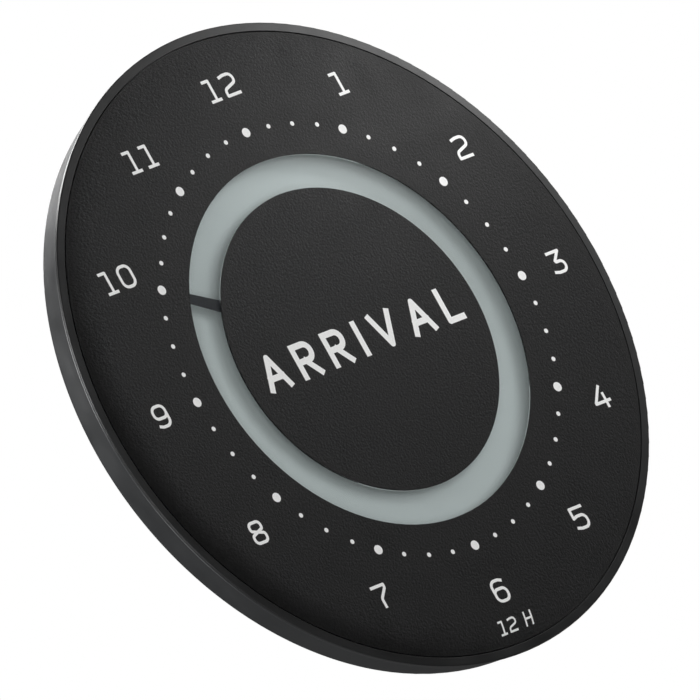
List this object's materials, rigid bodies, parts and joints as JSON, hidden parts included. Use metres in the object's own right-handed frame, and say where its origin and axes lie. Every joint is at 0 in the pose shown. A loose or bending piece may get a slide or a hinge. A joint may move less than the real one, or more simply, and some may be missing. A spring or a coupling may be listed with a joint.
{
  "type": "electronic parking disc",
  "caption": "Round flat electronic parking disc: dial with hour scale, ring display with time mark, tapered case, coin-slot battery door and two setting buttons at the back.",
  "frame": {"origin": "centre of the flat front face, the plane that lies on the windscreen", "axes": "dial faces -Y (the way it looks out of the car), 12 o'clock points to +Z, 3 o'clock to +X, the back faces +Y"},
  "size_m": [0.1, 0.01, 0.1],
  "materials": {
    "dial_face": "fine grained black",
    "rim": "satin black",
    "case_shell": "smooth satin black",
    "print_white": "matt white ink",
    "window_clear": "clear polycarbonate",
    "display_glass": "clear glass",
    "display_mark": "dark display segment",
    "reflector": "pale grey-green matt",
    "connector_rubber": "striped conductive silicone",
    "board": "green solder mask",
    "chip": "moulded epoxy with tinned leads",
    "sensor_package": "moulded epoxy",
    "crystal_can": "plated can",
    "ceramic": "ceramic",
    "switch_body": "black nylon",
    "switch_plunger": "natural nylon",
    "button": "satin grey",
    "cell_steel": "nickel plated steel",
    "contact": "plated spring steel",
    "door": "satin black",
    "screw": "blackened steel",
    "label": "silver film, blank"
  },
  "bodies": {
    "case": {"front_housing": "rim", "dial_plate": "dial_face", "hour_numerals": "print_white", "hour_dots": "print_white", "quarter_dots": "print_white", "lower_legend": "print_white", "dial_centre": "dial_face", "centre_legend": "print_white", "front_window": "window_clear", "lcd_time_mark": "display_mark", "lcd_front_glass": "display_glass", "lcd_rear_glass": "display_glass", "lcd_reflector_tray": "reflector", "lcd_connector_strips": "connector_rubber", "circuit_board": "board", "microcontroller": "chip", "motion_sensor": "sensor_package", "clock_crystal": "crystal_can", "board_capacitors": "ceramic", "hour_switch": "switch_body", "minute_switch": "switch_body", "coin_cell": "cell_steel", "battery_contact_negative": "contact", "battery_contact_positive": "contact", "rear_housing": "case_shell", "case_screws": "screw", "rear_label": "label"},
    "hour_key": {"hour_button": "button", "hour_switch_plunger": "switch_plunger"},
    "minute_key": {"minute_button": "button", "minute_switch_plunger": "switch_plunger"},
    "door": {"battery_door": "door"}
  },
  "joints": [
    {"name": "battery_door_turn", "type": "hinge", "parent": "case", "child": "door", "pos_m": [0, 0.0095, 0], "axis": [0, 1, 0], "range_deg": [0, 50]},
    {"name": "hour_button_press", "type": "slide", "parent": "case", "child": "hour_key", "axis": [0, -1, 0], "range_m": [0, 0.0006], "stiffness_N_per_m": 3000, "springref_m": -0.0002},
    {"name": "minute_button_press", "type": "slide", "parent": "case", "child": "minute_key", "axis": [0, -1, 0], "range_m": [0, 0.0006], "stiffness_N_per_m": 3000, "springref_m": -0.0002}
  ]
}
